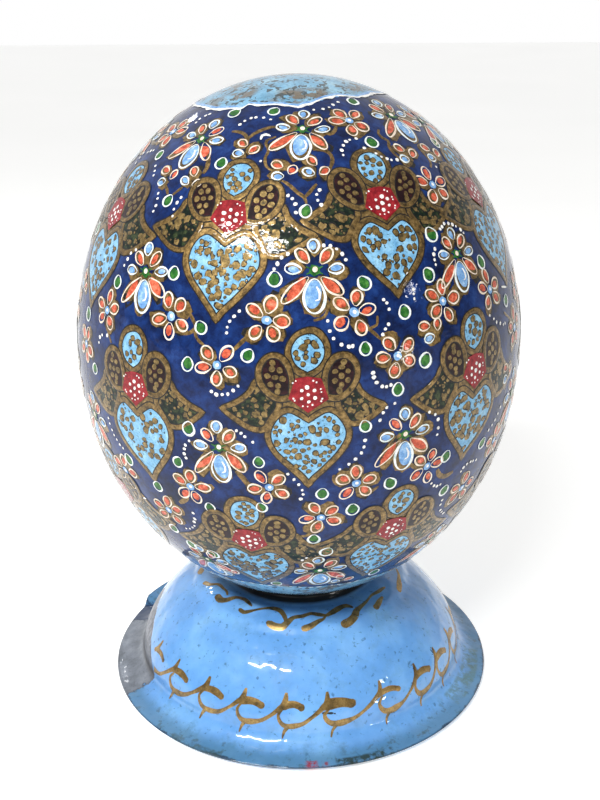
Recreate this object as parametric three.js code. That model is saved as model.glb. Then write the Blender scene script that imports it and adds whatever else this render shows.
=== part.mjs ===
// A painted ostrich egg resting in a bell-shaped, enamelled sheet-metal stand.
// Millimetres, +Z up, origin on the ground at the middle of the stand's foot, -Y is the front.
import * as THREE from "three";

// The egg: an ellipsoid of revolution whose upper end is a little blunter than the lower one.
const EGG_RADIUS = 62.5;
const EGG_HALF_LENGTH = 74.6;
const EGG_BLUNTNESS = 0.012; // extra share of the radius towards the upper end
const EGG_CENTRE_HEIGHT = 103.6;
const EGG_RINGS = 28;
const EGG_SIDES = 56;

// The stand: one sheet spun to a bell with a flared foot and a collar for the egg.
// Its outline runs through these places, as [radius, height].
const COLLAR_FOOT = [23.6, 29.6];
const SHOULDER = [42.86, 20.5];
const WALL_FOOT = [49.9, 6.9];
const FLARE_END = [56.4, 2.1];
// The curves between them are drawn towards these.
const DOME_PULLS = [[33.8, 29.2], [40.35, 23.6]];
const WALL_PULLS = [[44.67, 18.26], [49.62, 13.1]];
const FLARE_PULLS = [[50.1, 4.7], [52.9, 2.7]];

const SHEET = 1.6; // metal and enamel together
const COLLAR_RADIUS = 21.6;
const COLLAR_ROUNDING = 1;
const SEAT_GAP = 0.3; // between the collar's crest and the shell above it
const FOOT_RADIUS = 58.6;
const FOOT_THICKNESS = 1.9;
const FOOT_REST_INNER = 54.6; // the flat ring that the stand rests on starts here
const FOOT_REST_OUTER = 57.6; // and ends here, under the rounded edge
const FOOT_EDGE_ROUNDING = 0.35;
const CURVE_STEPS = 5; // straight pieces in each curve
const STAND_SIDES = 64;

// The foot's edge is bent up over a short stretch at the back left. 0 degrees is the front, 90 is +X.
const DENT_MIDDLE = -139;
const DENT_HALF_WIDTH = 26;
const DENT_RISE = 2.6;
const DENT_INNER_RADIUS = 50;

const point = ([radius, height]) => new THREE.Vector2(radius, height);

// Radius of the egg at a turn t, from -PI/2 at its lower pole to PI/2 at its upper pole.
function eggRadiusAt(t) {
  return EGG_RADIUS * Math.cos(t) * (1 + EGG_BLUNTNESS * Math.sin(t));
}

function eggHeightAt(t) {
  return EGG_CENTRE_HEIGHT + EGG_HALF_LENGTH * Math.sin(t);
}

// Height of the egg's underside at a radius, found by halving.
function eggUndersideAt(radius) {
  let low = -Math.PI / 2;
  let high = 0;
  for (let halving = 0; halving < 40; halving++) {
    const middle = (low + high) / 2;
    if (eggRadiusAt(middle) < radius) {
      low = middle;
    } else {
      high = middle;
    }
  }
  return eggHeightAt(low);
}

// LatheGeometry turns its profile round Y, so the solid is then stood up on Z.
function turned(profile, sides) {
  return new THREE.LatheGeometry(profile, sides).rotateX(Math.PI / 2);
}

function eggGeometry() {
  const profile = [new THREE.Vector2(0, eggHeightAt(-Math.PI / 2))];
  for (let ring = 1; ring < EGG_RINGS; ring++) {
    const t = -Math.PI / 2 + (Math.PI * ring) / EGG_RINGS;
    profile.push(new THREE.Vector2(eggRadiusAt(t), eggHeightAt(t)));
  }
  profile.push(new THREE.Vector2(0, eggHeightAt(Math.PI / 2)));
  return turned(profile, EGG_SIDES);
}

// The outside of the sheet, from the collar's crest down and out to the foot's edge.
function outerOutline() {
  const crestRadius = COLLAR_RADIUS - COLLAR_ROUNDING;
  const crest = eggUndersideAt(crestRadius) - SEAT_GAP;
  const collar = new THREE.QuadraticBezierCurve(
    new THREE.Vector2(crestRadius, crest),
    new THREE.Vector2(COLLAR_RADIUS, crest),
    new THREE.Vector2(COLLAR_RADIUS, crest - COLLAR_ROUNDING),
  );
  const dome = new THREE.CubicBezierCurve(point(COLLAR_FOOT), ...DOME_PULLS.map(point), point(SHOULDER));
  const wall = new THREE.CubicBezierCurve(point(SHOULDER), ...WALL_PULLS.map(point), point(WALL_FOOT));
  const flare = new THREE.CubicBezierCurve(point(WALL_FOOT), ...FLARE_PULLS.map(point), point(FLARE_END));
  return [
    ...collar.getPoints(CURVE_STEPS),
    ...dome.getPoints(CURVE_STEPS),
    ...wall.getPoints(CURVE_STEPS).slice(1),
    ...flare.getPoints(CURVE_STEPS).slice(1),
    new THREE.Vector2(FOOT_REST_OUTER, FOOT_THICKNESS),
  ];
}

// The same line moved in by the sheet's thickness, back from the foot to the collar.
function innerOutline(outer) {
  const inner = [];
  for (let i = 1; i < outer.length - 1; i++) {
    const along = outer[i + 1].clone().sub(outer[i - 1]).normalize();
    const inwards = new THREE.Vector2(along.y, -along.x).multiplyScalar(SHEET);
    inner.push(outer[i].clone().add(inwards));
  }
  const clearOfFoot = (p) => p.x < FOOT_REST_INNER - SHEET && p.y > SHEET / 2;
  return inner.filter(clearOfFoot).reverse();
}

function standGeometry() {
  const outer = outerOutline();
  const footEdge = [
    new THREE.Vector2(FOOT_RADIUS - FOOT_EDGE_ROUNDING, FOOT_THICKNESS - FOOT_EDGE_ROUNDING),
    new THREE.Vector2(FOOT_RADIUS, FOOT_THICKNESS / 2),
    new THREE.Vector2(FOOT_RADIUS - FOOT_EDGE_ROUNDING, FOOT_EDGE_ROUNDING),
    new THREE.Vector2(FOOT_REST_OUTER, 0),
    new THREE.Vector2(FOOT_REST_INNER, 0),
  ];
  const outline = [...outer, ...footEdge, ...innerOutline(outer), outer[0].clone()];
  const geometry = turned(outline.reverse(), STAND_SIDES);
  bendFootUp(geometry);
  return geometry;
}

// The bend is highest in its middle and fades to nothing at both ends and towards the wall.
function bendFootUp(geometry) {
  const position = geometry.getAttribute("position");
  for (let i = 0; i < position.count; i++) {
    const x = position.getX(i);
    const y = position.getY(i);
    const turn = THREE.MathUtils.radToDeg(Math.atan2(x, -y));
    const across = Math.abs(turn - DENT_MIDDLE) / DENT_HALF_WIDTH;
    const outwards = (Math.hypot(x, y) - DENT_INNER_RADIUS) / (FOOT_RADIUS - DENT_INNER_RADIUS);
    if (across < 1 && outwards > 0) {
      const fade = Math.cos((across * Math.PI) / 2) ** 2;
      position.setZ(i, position.getZ(i) + DENT_RISE * fade * outwards);
    }
  }
}

function piece(name, geometry, material) {
  const mesh = new THREE.Mesh(geometry, material);
  mesh.name = name;
  return mesh;
}

const paintedShell = new THREE.MeshStandardMaterial({ color: 0x1c2f74, roughness: 0.2, metalness: 0 });
const blueEnamel = new THREE.MeshStandardMaterial({ color: 0x76aee6, roughness: 0.15, metalness: 0 });

const eggOnStand = new THREE.Group();
eggOnStand.add(piece("egg", eggGeometry(), paintedShell));
eggOnStand.add(piece("stand", standGeometry(), blueEnamel));

export default eggOnStand;
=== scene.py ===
import math
import random
import time
from functools import partial

import bmesh
import bpy
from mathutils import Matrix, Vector, noise


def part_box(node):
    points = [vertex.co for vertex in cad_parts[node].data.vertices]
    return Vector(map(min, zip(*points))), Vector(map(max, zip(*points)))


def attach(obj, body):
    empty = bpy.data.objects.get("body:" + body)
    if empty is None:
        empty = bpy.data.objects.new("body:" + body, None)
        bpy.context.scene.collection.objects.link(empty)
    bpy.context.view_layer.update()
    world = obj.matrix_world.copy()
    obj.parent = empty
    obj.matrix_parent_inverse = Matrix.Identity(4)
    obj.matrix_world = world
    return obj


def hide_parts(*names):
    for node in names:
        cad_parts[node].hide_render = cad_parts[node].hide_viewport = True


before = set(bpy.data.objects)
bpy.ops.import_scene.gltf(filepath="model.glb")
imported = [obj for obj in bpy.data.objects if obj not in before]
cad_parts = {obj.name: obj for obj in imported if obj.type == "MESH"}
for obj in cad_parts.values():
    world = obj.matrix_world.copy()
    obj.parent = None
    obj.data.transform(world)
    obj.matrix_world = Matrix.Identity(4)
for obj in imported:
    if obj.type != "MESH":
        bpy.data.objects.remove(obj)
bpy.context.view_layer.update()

mm = 0.001
chance = random.Random(41)
noise.seed_set(41)  # otherwise noise_vector differs from run to run
startTime = time.time()


def stage(text):
    print(f"{time.time() - startTime:6.1f} s  {text}")


# Outlines and paint are worked out in millimetres. Azimuth 0 is the front (-Y), 90 is +X.
tableStep = 0.1  # millimetres between the places kept along an outline
normalReach = 3  # a normal is taken across this many places on each side
eggOutlineSteps = 1440
halvings = 40


def tableOf(outline):
    # an outline from top to bottom as evenly spaced radii, heights and outward normals
    lengths = [0.0]
    for a, b in zip(outline, outline[1:]):
        lengths.append(lengths[-1] + (b - a).length)
    table = {"places": [], "normals": [], "length": lengths[-1]}
    k = 0
    for i in range(int(lengths[-1] / tableStep) + 2):
        arc = min(i * tableStep, lengths[-1])
        while k < len(outline) - 2 and lengths[k + 1] < arc:
            k += 1
        share = (arc - lengths[k]) / max(lengths[k + 1] - lengths[k], 1e-9)
        table["places"].append(outline[k].lerp(outline[k + 1], share))
    last = len(table["places"]) - 1
    for i in range(last + 1):
        along = table["places"][min(i + normalReach, last)] - table["places"][max(i - normalReach, 0)]
        table["normals"].append(Vector((-along.y, along.x)).normalized())
    return table


def spotIn(table, arc):
    i = min(max(arc / tableStep, 0), len(table["places"]) - 1.001)
    return int(i), i - int(i)


def radiusAt(table, arc):
    low, share = spotIn(table, arc)
    return table["places"][low].lerp(table["places"][low + 1], share).x


def surfacePoint(table, azimuth, arc, lift=0.0):
    low, share = spotIn(table, arc)
    place = table["places"][low].lerp(table["places"][low + 1], share)
    normal = table["normals"][low].lerp(table["normals"][low + 1], share)
    radius = place.x + normal.x * lift
    turn = math.radians(azimuth)
    return Vector((radius * math.sin(turn), -radius * math.cos(turn), place.y + normal.y * lift)) * mm


# ---- the egg's outline, from the frame
eggLow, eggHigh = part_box("egg")
eggShape = {
    "radius": (eggHigh.x - eggLow.x) / 2 / mm,
    "halfLength": (eggHigh.z - eggLow.z) / 2 / mm,
    "middle": (eggHigh.z + eggLow.z) / 2 / mm,
    "bluntness": 0.012,
    "sides": 288,
    "rings": 180,
}


def eggOutlineAt(turn):
    # turn 0 is the upper pole, pi the lower one
    radius = eggShape["radius"] * math.sin(turn) * (1 + eggShape["bluntness"] * math.cos(turn))
    return Vector((radius, eggShape["middle"] + eggShape["halfLength"] * math.cos(turn)))


eggTable = tableOf([eggOutlineAt(math.pi * i / eggOutlineSteps) for i in range(eggOutlineSteps + 1)])

# ---- the stand's outline, as [radius, height] in millimetres
standShape = {
    "collarFoot": (23.6, 29.6),
    "shoulder": (42.86, 20.5),
    "wallFoot": (49.9, 6.9),
    "flareEnd": (56.4, 2.1),
    "footTop": (57.6, 1.9),
    "domePulls": ((33.8, 29.2), (40.35, 23.6)),
    "wallPulls": ((44.67, 18.26), (49.62, 13.1)),
    "flarePulls": ((50.1, 4.7), (52.9, 2.7)),
    "step": (31.6, 34.4, 1.1),  # a low step in the dome: where it starts and ends, and how high it is
    "sheet": 1.6,
    "collarRadius": 21.6,
    "collarRounding": 1.0,
    "seatGap": 0.3,
    "footRadius": 58.6,
    "rim": ((58.5, 1.85), (58.6, 1.45), (58.5, 1.0), (57.2, 0.85), (55.8, 0)),  # round the foot's thin edge
    "footRestInner": 54.6,
    "sides": 320,
}


def bezier(*points, steps=12):
    line = []
    for i in range(steps + 1):
        layer = [Vector(p) for p in points]
        while len(layer) > 1:
            layer = [a.lerp(b, i / steps) for a, b in zip(layer, layer[1:])]
        line.append(layer[0])
    return line


def eggUndersideAt(radius):
    low, high = math.pi / 2, math.pi
    for _ in range(halvings):
        turn = (low + high) / 2
        if eggOutlineAt(turn).x > radius:
            low = turn
        else:
            high = turn
    return eggOutlineAt(low).y


def easeBetween(value, low, high):
    share = min(max((value - low) / (high - low), 0), 1)
    return share * share * (3 - 2 * share)


def standOutside():
    s = standShape
    body = bezier(s["collarFoot"], *s["domePulls"], s["shoulder"], steps=40)
    stepStart, stepEnd, stepHeight = s["step"]
    for p in body:
        p.y += stepHeight * (1 - easeBetween(p.x, stepStart, stepEnd))
    body += bezier(s["shoulder"], *s["wallPulls"], s["wallFoot"], steps=30)[1:]
    body += bezier(s["wallFoot"], *s["flarePulls"], s["flareEnd"], steps=22)[1:]
    body.append(Vector(s["footTop"]))
    return body


standTable = tableOf(standOutside())
stage("outlines ready")


# ---- drawing: shapes are laid flat as (x right, y up) in millimetres round a spot on the surface
def place(table, spot, x, y):
    azimuth, arc, turn, size = spot
    c, s = math.cos(turn) * size, math.sin(turn) * size
    down = arc - (x * s + y * c)
    return azimuth + math.degrees((x * c - y * s) / max(radiusAt(table, down), 1)), down


def pinned(table, verts, spot):
    for v in verts:
        azimuth, arc = place(table, spot, v.co.x, v.co.y)
        v.co = Vector((azimuth, arc, v.co.z))


def laidFlat(table, points):
    # points given as (azimuth, arc) turned into a spot and flat points round it
    azimuth, arc = points[0]
    spot = (azimuth, arc, 0.0, 1.0)
    return spot, [(math.radians(a - azimuth) * radiusAt(table, s), arc - s) for a, s in points]


def newCanvas(table):
    return {"mesh": bmesh.new(), "table": table, "dried": []}


def dry(canvas, limit=2500):
    # puts finished strokes aside, because drawing on a large mesh is slow
    bm = canvas["mesh"]
    if len(bm.verts) > limit:
        part = bpy.data.meshes.new("dried")
        bm.to_mesh(part)
        canvas["dried"].append(part)
        bm.clear()


def smoothLine(points, closed=False, step=0.8):
    # a curve through the points, with a corner wherever a point is given twice
    points = [Vector(p) for p in points]
    count = len(points)
    line = []
    for i in range(count if closed else count - 1):
        a, b = points[i], points[(i + 1) % count]
        if (b - a).length < 1e-6:
            continue
        before = points[(i - 1) % count] if closed or i > 0 else a
        after = points[(i + 2) % count] if closed or i + 2 < count else b
        pieces = max(1, round((b - a).length / step))
        for k in range(pieces):
            t = k / pieces
            line.append(
                0.5 * ((2 * a) + (b - before) * t + (2 * before - 5 * a + 4 * b - after) * t * t
                       + (3 * a - before - 3 * b + after) * t * t * t)
            )
    if not closed:
        line.append(points[-1])
    return line


def widthAt(widths, share):
    if not isinstance(widths, (list, tuple)):
        return widths
    i = min(share * (len(widths) - 1), len(widths) - 1.001)
    low = int(i)
    return widths[low] + (widths[low + 1] - widths[low]) * (i - low)


def stroke(canvas, points, widths, spot, lift, closed=False, rows=2, step=0.8, ridge=0.05, wider=0.0):
    # a ribbon of paint along a line, highest in its middle
    dry(canvas)
    bm, table = canvas["mesh"], canvas["table"]
    line = smoothLine(points, closed, step)
    if closed:
        line.append(line[0].copy())
    last = len(line) - 1
    grid = bmesh.ops.create_grid(bm, x_segments=last, y_segments=rows, size=1)["verts"]
    for v in grid:
        i = round((v.co.x + 1) / 2 * last)
        across = v.co.y
        if closed:
            along = line[(i + 1) % last] - line[(i - 1) % last]
        else:
            along = line[min(i + 1, last)] - line[max(i - 1, 0)]
        aside = Vector((-along.y, along.x)).normalized() * (widthAt(widths, i / last) + wider) / 2
        co = line[i] + aside * across
        v.co = Vector((co.x, co.y, lift + ridge * (1 - across * across)))
    if closed:
        bmesh.ops.remove_doubles(bm, verts=grid, dist=0.001)
        grid = [v for v in grid if v.is_valid]
    pinned(table, grid, spot)


def fill(canvas, points, spot, lift, pitch=2.5, step=0.8):
    # a filled outline, cut into small faces so that it follows the curved ground
    dry(canvas)
    bm, table = canvas["mesh"], canvas["table"]
    line = smoothLine(points, True, step)
    face = bm.faces.new([bm.verts.new((p.x, p.y, lift)) for p in line])
    geometry = bmesh.ops.triangulate(bm, faces=[face])["faces"]
    # each corner and side once, in an order that is the same each run
    corners = dict.fromkeys(v for f in geometry for v in f.verts)
    sides = dict.fromkeys(e for f in geometry for e in f.edges)
    geometry = [*corners, *sides, *geometry]
    low = Vector((min(p.x for p in line), min(p.y for p in line)))
    high = Vector((max(p.x for p in line), max(p.y for p in line)))
    for axis in (0, 1):
        for k in range(1, int((high[axis] - low[axis]) / pitch) + 1):
            normal = Vector((1 - axis, axis, 0))
            at = normal * (low[axis] + k * pitch)
            geometry = bmesh.ops.bisect_plane(
                bm, geom=geometry, dist=0.0001, plane_co=at, plane_no=normal
            )["geom"]
    pinned(table, [g for g in geometry if isinstance(g, bmesh.types.BMVert)], spot)


def oval(canvas, centre, width, height, lean, spot, lift, sides=12, ridge=0.04, wobble=0.0):
    # a filled oval with its middle raised; lean is in degrees
    dry(canvas)
    bm, table = canvas["mesh"], canvas["table"]
    made = bmesh.ops.create_circle(bm, cap_ends=True, cap_tris=True, segments=sides, radius=1)["verts"]
    c, s = math.cos(math.radians(lean)), math.sin(math.radians(lean))
    for v in made:
        middle = v.co.length < 0.5
        grow = 1 + (chance.uniform(-wobble, wobble) if wobble and not middle else 0)
        x, y = v.co.x * width / 2 * grow, v.co.y * height / 2 * grow
        v.co = Vector((centre[0] + x * c - y * s, centre[1] + x * s + y * c, lift + (ridge if middle else 0)))
    pinned(table, made, spot)


ringShape = {
    "points": 10,
    "start": 7,  # the brush starts at this one, near the lower end
    "widths": (0.3, 1.0, 1.2, 0.75, 1.2, 1.0),
    "uneven": (0.6, 1.3),
}


def ring(canvas, centre, width, height, lean, thickness, spot, lift, taper=0.0):
    # an oval outline; taper draws its lower end in to a point
    c, s = math.cos(math.radians(lean)), math.sin(math.radians(lean))
    count, start = ringShape["points"], ringShape["start"]
    points = []
    for i in range(count):
        a = 2 * math.pi * i / count
        x = math.cos(a) * width / 2 * (1 - taper * max(0, -math.sin(a)))
        y = math.sin(a) * height / 2
        points.append((centre[0] + x * c - y * s, centre[1] + x * s + y * c))
    points = points[start:] + points[:start]
    widths = [thickness * share * chance.uniform(*ringShape["uneven"]) for share in ringShape["widths"]]
    widths.append(widths[0])
    stroke(canvas, points, widths, spot, lift, closed=True, step=0.5)


def dots(canvas, points, size, spot, lift):
    for x, y in points:
        d = size * chance.uniform(0.7, 1.12)
        oval(canvas, (x, y), d, d * chance.uniform(0.85, 1.1), chance.uniform(0, 90), spot, lift, sides=8,
             wobble=0.1)


# ---- the paints, one mesh each
paintNames = (
    "goldWork", "umberShades", "turquoiseFields", "plumFields", "shadowLeaves", "redHearts", "goldSpots",
    "coralPetals", "bluePetals", "creamLines", "paleLines", "greenLeaves", "whiteDots", "capWash",
)
paint = {name: newCanvas(eggTable) for name in paintNames}
# how far each layer stands off the shell, in millimetres
paintLift = {
    "shade": 0.025, "halo": 0.035, "wash": 0.04, "stem": 0.045, "field": 0.06, "underBorder": 0.07,
    "underSpot": 0.08, "border": 0.09, "spot": 0.10, "petal": 0.10, "line": 0.13, "lobe": 0.15,
    "lobeSpot": 0.18, "dot": 0.15, "glint": 0.18, "red": 0.235, "redDot": 0.25,
    "lobeBorder": 0.08,  # above an ordinary border
}

# ---- palmette: a heart, three lobes, two leaves and a red five-sided middle
palmetteShape = {
    "heart": [(0, -6.4), (0, -6.4), (2.2, -4.8), (4.9, -3.6), (7.7, -5.0), (9.7, -8.2), (9.9, -11.6),
              (7.9, -15.6), (4.3, -19.6), (1.3, -22.8), (0, -25), (0, -25)],
    "topLobe": [(0, 4.4), (0, 4.4), (2.6, 6.0), (4.3, 8.9), (4.1, 12.0), (2.2, 14.2), (-0.2, 14.6),
                (-3.0, 13.4), (-4.5, 10.2), (-3.7, 6.9), (-1.8, 5.2)],
    "sideLobe": [(3.9, -0.6), (3.9, -0.6), (3.7, 2.8), (4.3, 6.2), (6.0, 8.6), (8.7, 8.9), (10.9, 6.7),
                 (11.2, 3.4), (9.6, 0.6), (6.9, -1.0)],
    "leaf": [(7.0, 1.0), (7.0, 1.0), (9.6, 2.8), (12.0, 2.9), (13.4, 0.5), (16.2, -1.9), (20.6, -4.2),
             (20.6, -4.2), (17.2, -6.6), (13.8, -8.5), (10.4, -8.6), (8.6, -6.0), (6.8, -2.8)],
    "core": [(-7.4, 1.2), (-4.6, 5.6), (0, 6.2), (4.6, 5.6), (7.4, 1.2), (8.4, -3.6), (4.2, -4.4),
             (0, -7.0), (-4.2, -4.4), (-8.4, -3.6)],
    "red": [(-2.9, 3.8), (-2.9, 3.8), (0, 4.3), (3.0, 3.7), (3.0, 3.7), (4.6, -1.1), (4.6, -1.1),
            (0, -4.5), (0, -4.5), (-4.6, -0.9), (-4.6, -0.9)],
    "border": 1.22,
    "underBorder": 0.6,  # how much wider the dark line under the gold one is
    "seeds": ((0, 1), (2.3, 6), (3.6, 2)),  # gold spots in a side lobe: circles and how many stand on each
    "seedMiddle": (7.5, 4.0),
    "seedSpread": (0.76, 0.94),
    "seedStart": 1.4,  # where the outermost ones start, in radians
    "redDots": [(-3.5, 2.7), (-2.8, 3.2), (1.2, 3.3), (1.9, 2.9), (2.8, 1.3), (2.9, 0.6), (3.1, -1.0),
                (2.9, -1.6), (1.0, -2.5), (-0.1, -2.9), (-1.2, -2.8), (-3.4, -0.9), (-3.1, -1.4)],
    "redRing": 1.75,
    "clusters": [(-5.2, -8.8), (5.2, -9.0), (0.2, -16.4)],
}


def mirrored(points):
    return [(-x, y) for x, y in points]


def inside(points, x, y):
    hit = False
    for (ax, ay), (bx, by) in zip(points, points[1:] + points[:1]):
        if (ay > y) != (by > y) and x < (bx - ax) * (y - ay) / (by - ay) + ax:
            hit = not hit
    return hit


def resized(points, size, about=(0.0, 0.0)):
    return [(about[0] + (x - about[0]) * size, about[1] + (y - about[1]) * size) for x, y in points]


def goldFleck(x, y, d, spot, wobble):
    lean, tall = chance.uniform(0, 180), chance.uniform(0.7, 1.3)
    oval(paint["umberShades"], (x, y), d + 0.32, d * tall + 0.3, lean, spot, paintLift["underSpot"], sides=9,
         wobble=wobble)
    oval(paint["goldSpots"], (x, y), d, d * tall, lean, spot, paintLift["spot"], sides=9, wobble=wobble)


def goldFlecks(points, spot, count, low=0.55, high=1.7, edge=0.9, gap=0.15, near=None, wobble=0.17):
    # irregular gold spots with dark edges on a turquoise field
    xs = [p[0] for p in points]
    ys = [p[1] for p in points]
    kept = []
    tries = 0
    while len(kept) < count and tries < count * 14:
        tries += 1
        if near:
            middle = near[tries % len(near)]
            x, y = middle[0] + chance.gauss(0, 1.9), middle[1] + chance.gauss(0, 1.9)
        else:
            x, y = chance.uniform(min(xs), max(xs)), chance.uniform(min(ys), max(ys))
        d = low + (high - low) * chance.random() ** 1.3
        reach = d / 2 + edge
        ways = ((1, 0), (-1, 0), (0, 1), (0, -1))
        if not all(inside(points, x + reach * a, y + reach * b) for a, b in ways):
            continue
        if any(math.hypot(x - u, y - v) < (d + e) / 2 + gap for u, v, e in kept):
            continue
        kept.append((x, y, d))
        goldFleck(x, y, d, spot, wobble)


def borderWidths(width):
    widths = [width * chance.uniform(0.82, 1.2) for _ in range(7)]
    return widths + [widths[0]]


def border(points, spot, lift):
    # a gold outline over a slightly wider dark one
    widths = borderWidths(palmetteShape["border"])
    stroke(paint["umberShades"], points, widths, spot, paintLift["underBorder"] + lift, closed=True,
           wider=palmetteShape["underBorder"])
    stroke(paint["goldWork"], points, widths, spot, paintLift["border"] + lift, closed=True, rows=4)


def heartFlecks(heart, spot, manner):
    if manner == "spotted":
        goldFlecks(heart, spot, 46, low=0.8, high=1.8)
        goldFlecks(heart, spot, 26, low=0.35, high=0.6)
    elif manner == "clustered":
        goldFlecks(heart, spot, 27, low=1.3, high=1.9, gap=-0.05, near=palmetteShape["clusters"])
        goldFlecks(heart, spot, 26, low=0.3, high=0.6)
    else:
        goldFlecks(heart, spot, 44, low=1.0, high=2.2, gap=-0.4, wobble=0.3)
        goldFlecks(heart, spot, 34, low=0.35, high=0.8)


def paintLeaf(sided, size, spot, raised):
    # a dark wing with a gold edge and gold mottling inside
    shape, lift = palmetteShape, paintLift
    leaf = sided(resized(shape["leaf"], size, (7.0, -2.0)))
    fill(paint["shadowLeaves"], leaf, spot, lift["field"] + raised)
    border(leaf, spot, raised)
    goldFlecks(leaf, spot, 13, low=0.9, high=2.3, edge=0.5, gap=-0.25, wobble=0.35)
    goldFlecks(leaf, spot, 16, low=0.3, high=0.7, edge=0.6)


def paintSeeds(side, spot):
    # a gold spot with six round it and two beyond them
    (middleX, middleY), (spreadX, spreadY) = palmetteShape["seedMiddle"], palmetteShape["seedSpread"]
    outermost = palmetteShape["seeds"][-1][0]
    for circle, count in palmetteShape["seeds"]:
        start = chance.uniform(0, 1) if circle < outermost else palmetteShape["seedStart"]
        for i in range(count):
            a = start + 2 * math.pi * i / count
            at = (side * (middleX + circle * spreadX * math.cos(a)), middleY + circle * spreadY * math.sin(a))
            oval(paint["goldSpots"], at, chance.uniform(1.2, 1.65), chance.uniform(1.2, 1.7), 0, spot,
                 paintLift["lobeSpot"], sides=9, wobble=0.1)


def palmette(azimuth, arc, turn=0.0, manner="spotted", heartSize=0.95, leftLeaf=1.0, rightLeaf=1.0):
    shape, lift = palmetteShape, paintLift
    spot = (azimuth, arc, math.radians(turn), chance.uniform(0.985, 1.015))
    raised = chance.uniform(-0.004, 0.004)  # keeps overlapping palmettes from lying at one level
    fill(paint["goldWork"], shape["core"], spot, lift["halo"] + raised)
    paintLeaf(list, rightLeaf, spot, raised)
    paintLeaf(mirrored, leftLeaf, spot, raised)
    heart = resized(shape["heart"] + mirrored(shape["heart"][2:-2])[::-1], heartSize, (0.0, -5.4))
    fill(paint["turquoiseFields"], heart, spot, lift["field"] + 0.005 + raised)
    border(heart, spot, raised + 0.006)
    heartFlecks(heart, spot, manner)
    fill(paint["turquoiseFields"], shape["topLobe"], spot, lift["field"] + raised)
    border(shape["topLobe"], spot, raised + 0.01)
    goldFlecks(shape["topLobe"], spot, 13, low=0.9, high=2.1, gap=0.05)
    for sided, side in ((list, 1), (mirrored, -1)):
        fill(paint["plumFields"], sided(shape["sideLobe"]), spot, lift["lobe"] + raised)
        border(sided(shape["sideLobe"]), spot, raised + lift["lobeBorder"])
        paintSeeds(side, spot)
    fill(paint["redHearts"], shape["red"], spot, lift["red"])
    around = [(0, 0)]
    for i in range(6):
        a = math.radians(90 + 60 * i + chance.uniform(-7, 7))
        around.append((shape["redRing"] * math.cos(a), shape["redRing"] * math.sin(a)))
    dots(paint["whiteDots"], around, 1.05, spot, lift["redDot"])
    dots(paint["whiteDots"], shape["redDots"], 0.45, spot, lift["redDot"])


# ---- blossoms
petalShape = {
    "gilded": 0.85,  # share of the petals with gold behind them
    "goldStray": 25,  # degrees that the gold may lean astray
    "line": 0.38,  # width of the pale line
}


def petal(colour, centre, width, height, lean, spot, gap=0.3, taper=0.35, body=0.68):
    # a dab of colour with a pale line round it that never quite fits, and some gold behind
    dx, dy = chance.uniform(-gap, gap), chance.uniform(-gap, gap)
    if chance.random() < petalShape["gilded"]:
        astray = (centre[0] + chance.uniform(-0.8, 0.9), centre[1] + chance.uniform(-0.9, 0.6))
        size = (width + chance.uniform(0.5, 2.0), height + chance.uniform(0.3, 1.6))
        aslant = lean + chance.uniform(-petalShape["goldStray"], petalShape["goldStray"])
        oval(paint["umberShades"], astray, size[0] + 0.5, size[1] + 0.5, aslant, spot, paintLift["shade"],
             sides=12, ridge=0.01, wobble=0.22)
        oval(paint["goldWork"], astray, *size, aslant, spot, paintLift["halo"], sides=12, ridge=0.02,
             wobble=0.22)
    oval(paint[colour], (centre[0] + dx, centre[1] + dy), width * body * chance.uniform(0.8, 1.1),
         height * body * chance.uniform(0.8, 1.05), lean + chance.uniform(-10, 10), spot, paintLift["petal"],
         sides=13, wobble=0.08)
    line = "paleLines" if colour == "bluePetals" else "creamLines"
    ring(paint[line], centre, width, height * chance.uniform(0.95, 1.06), lean + chance.uniform(-6, 6),
         petalShape["line"], spot, paintLift["line"], taper)


orchidShape = {
    # each small petal: paint, middle, width, height, lean in degrees, and how far the lean may stray
    "smallPetals": (("bluePetals", (0, 5.3), 2.6, 3.1, 0, 12), ("coralPetals", (-2.5, 3.1), 2.4, 3.9, 38, 0),
                    ("coralPetals", (2.7, 3.0), 2.4, 4.1, -40, 0),
                    ("bluePetals", (-4.6, 0.3), 2.2, 3.6, 86, 0),
                    ("bluePetals", (4.8, 0.2), 2.2, 3.8, -84, 0)),
    # each long lower petal: middle, width, height, lean
    "longPetals": (((-4.2, -4.3), 2.5, 8.4, 137), ((3.9, -3.5), 2.7, 6.6, 225)),
    "glint": [(0.5, -3.6), (1.2, -5.0), (1.0, -6.4), (0.2, -6.7)],
    "glintWidths": [0.3, 0.55, 0.5, 0.25],
    "calyxLeans": (25, 155, 205, 335),
    "calyxReach": 2.0,
}


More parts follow.
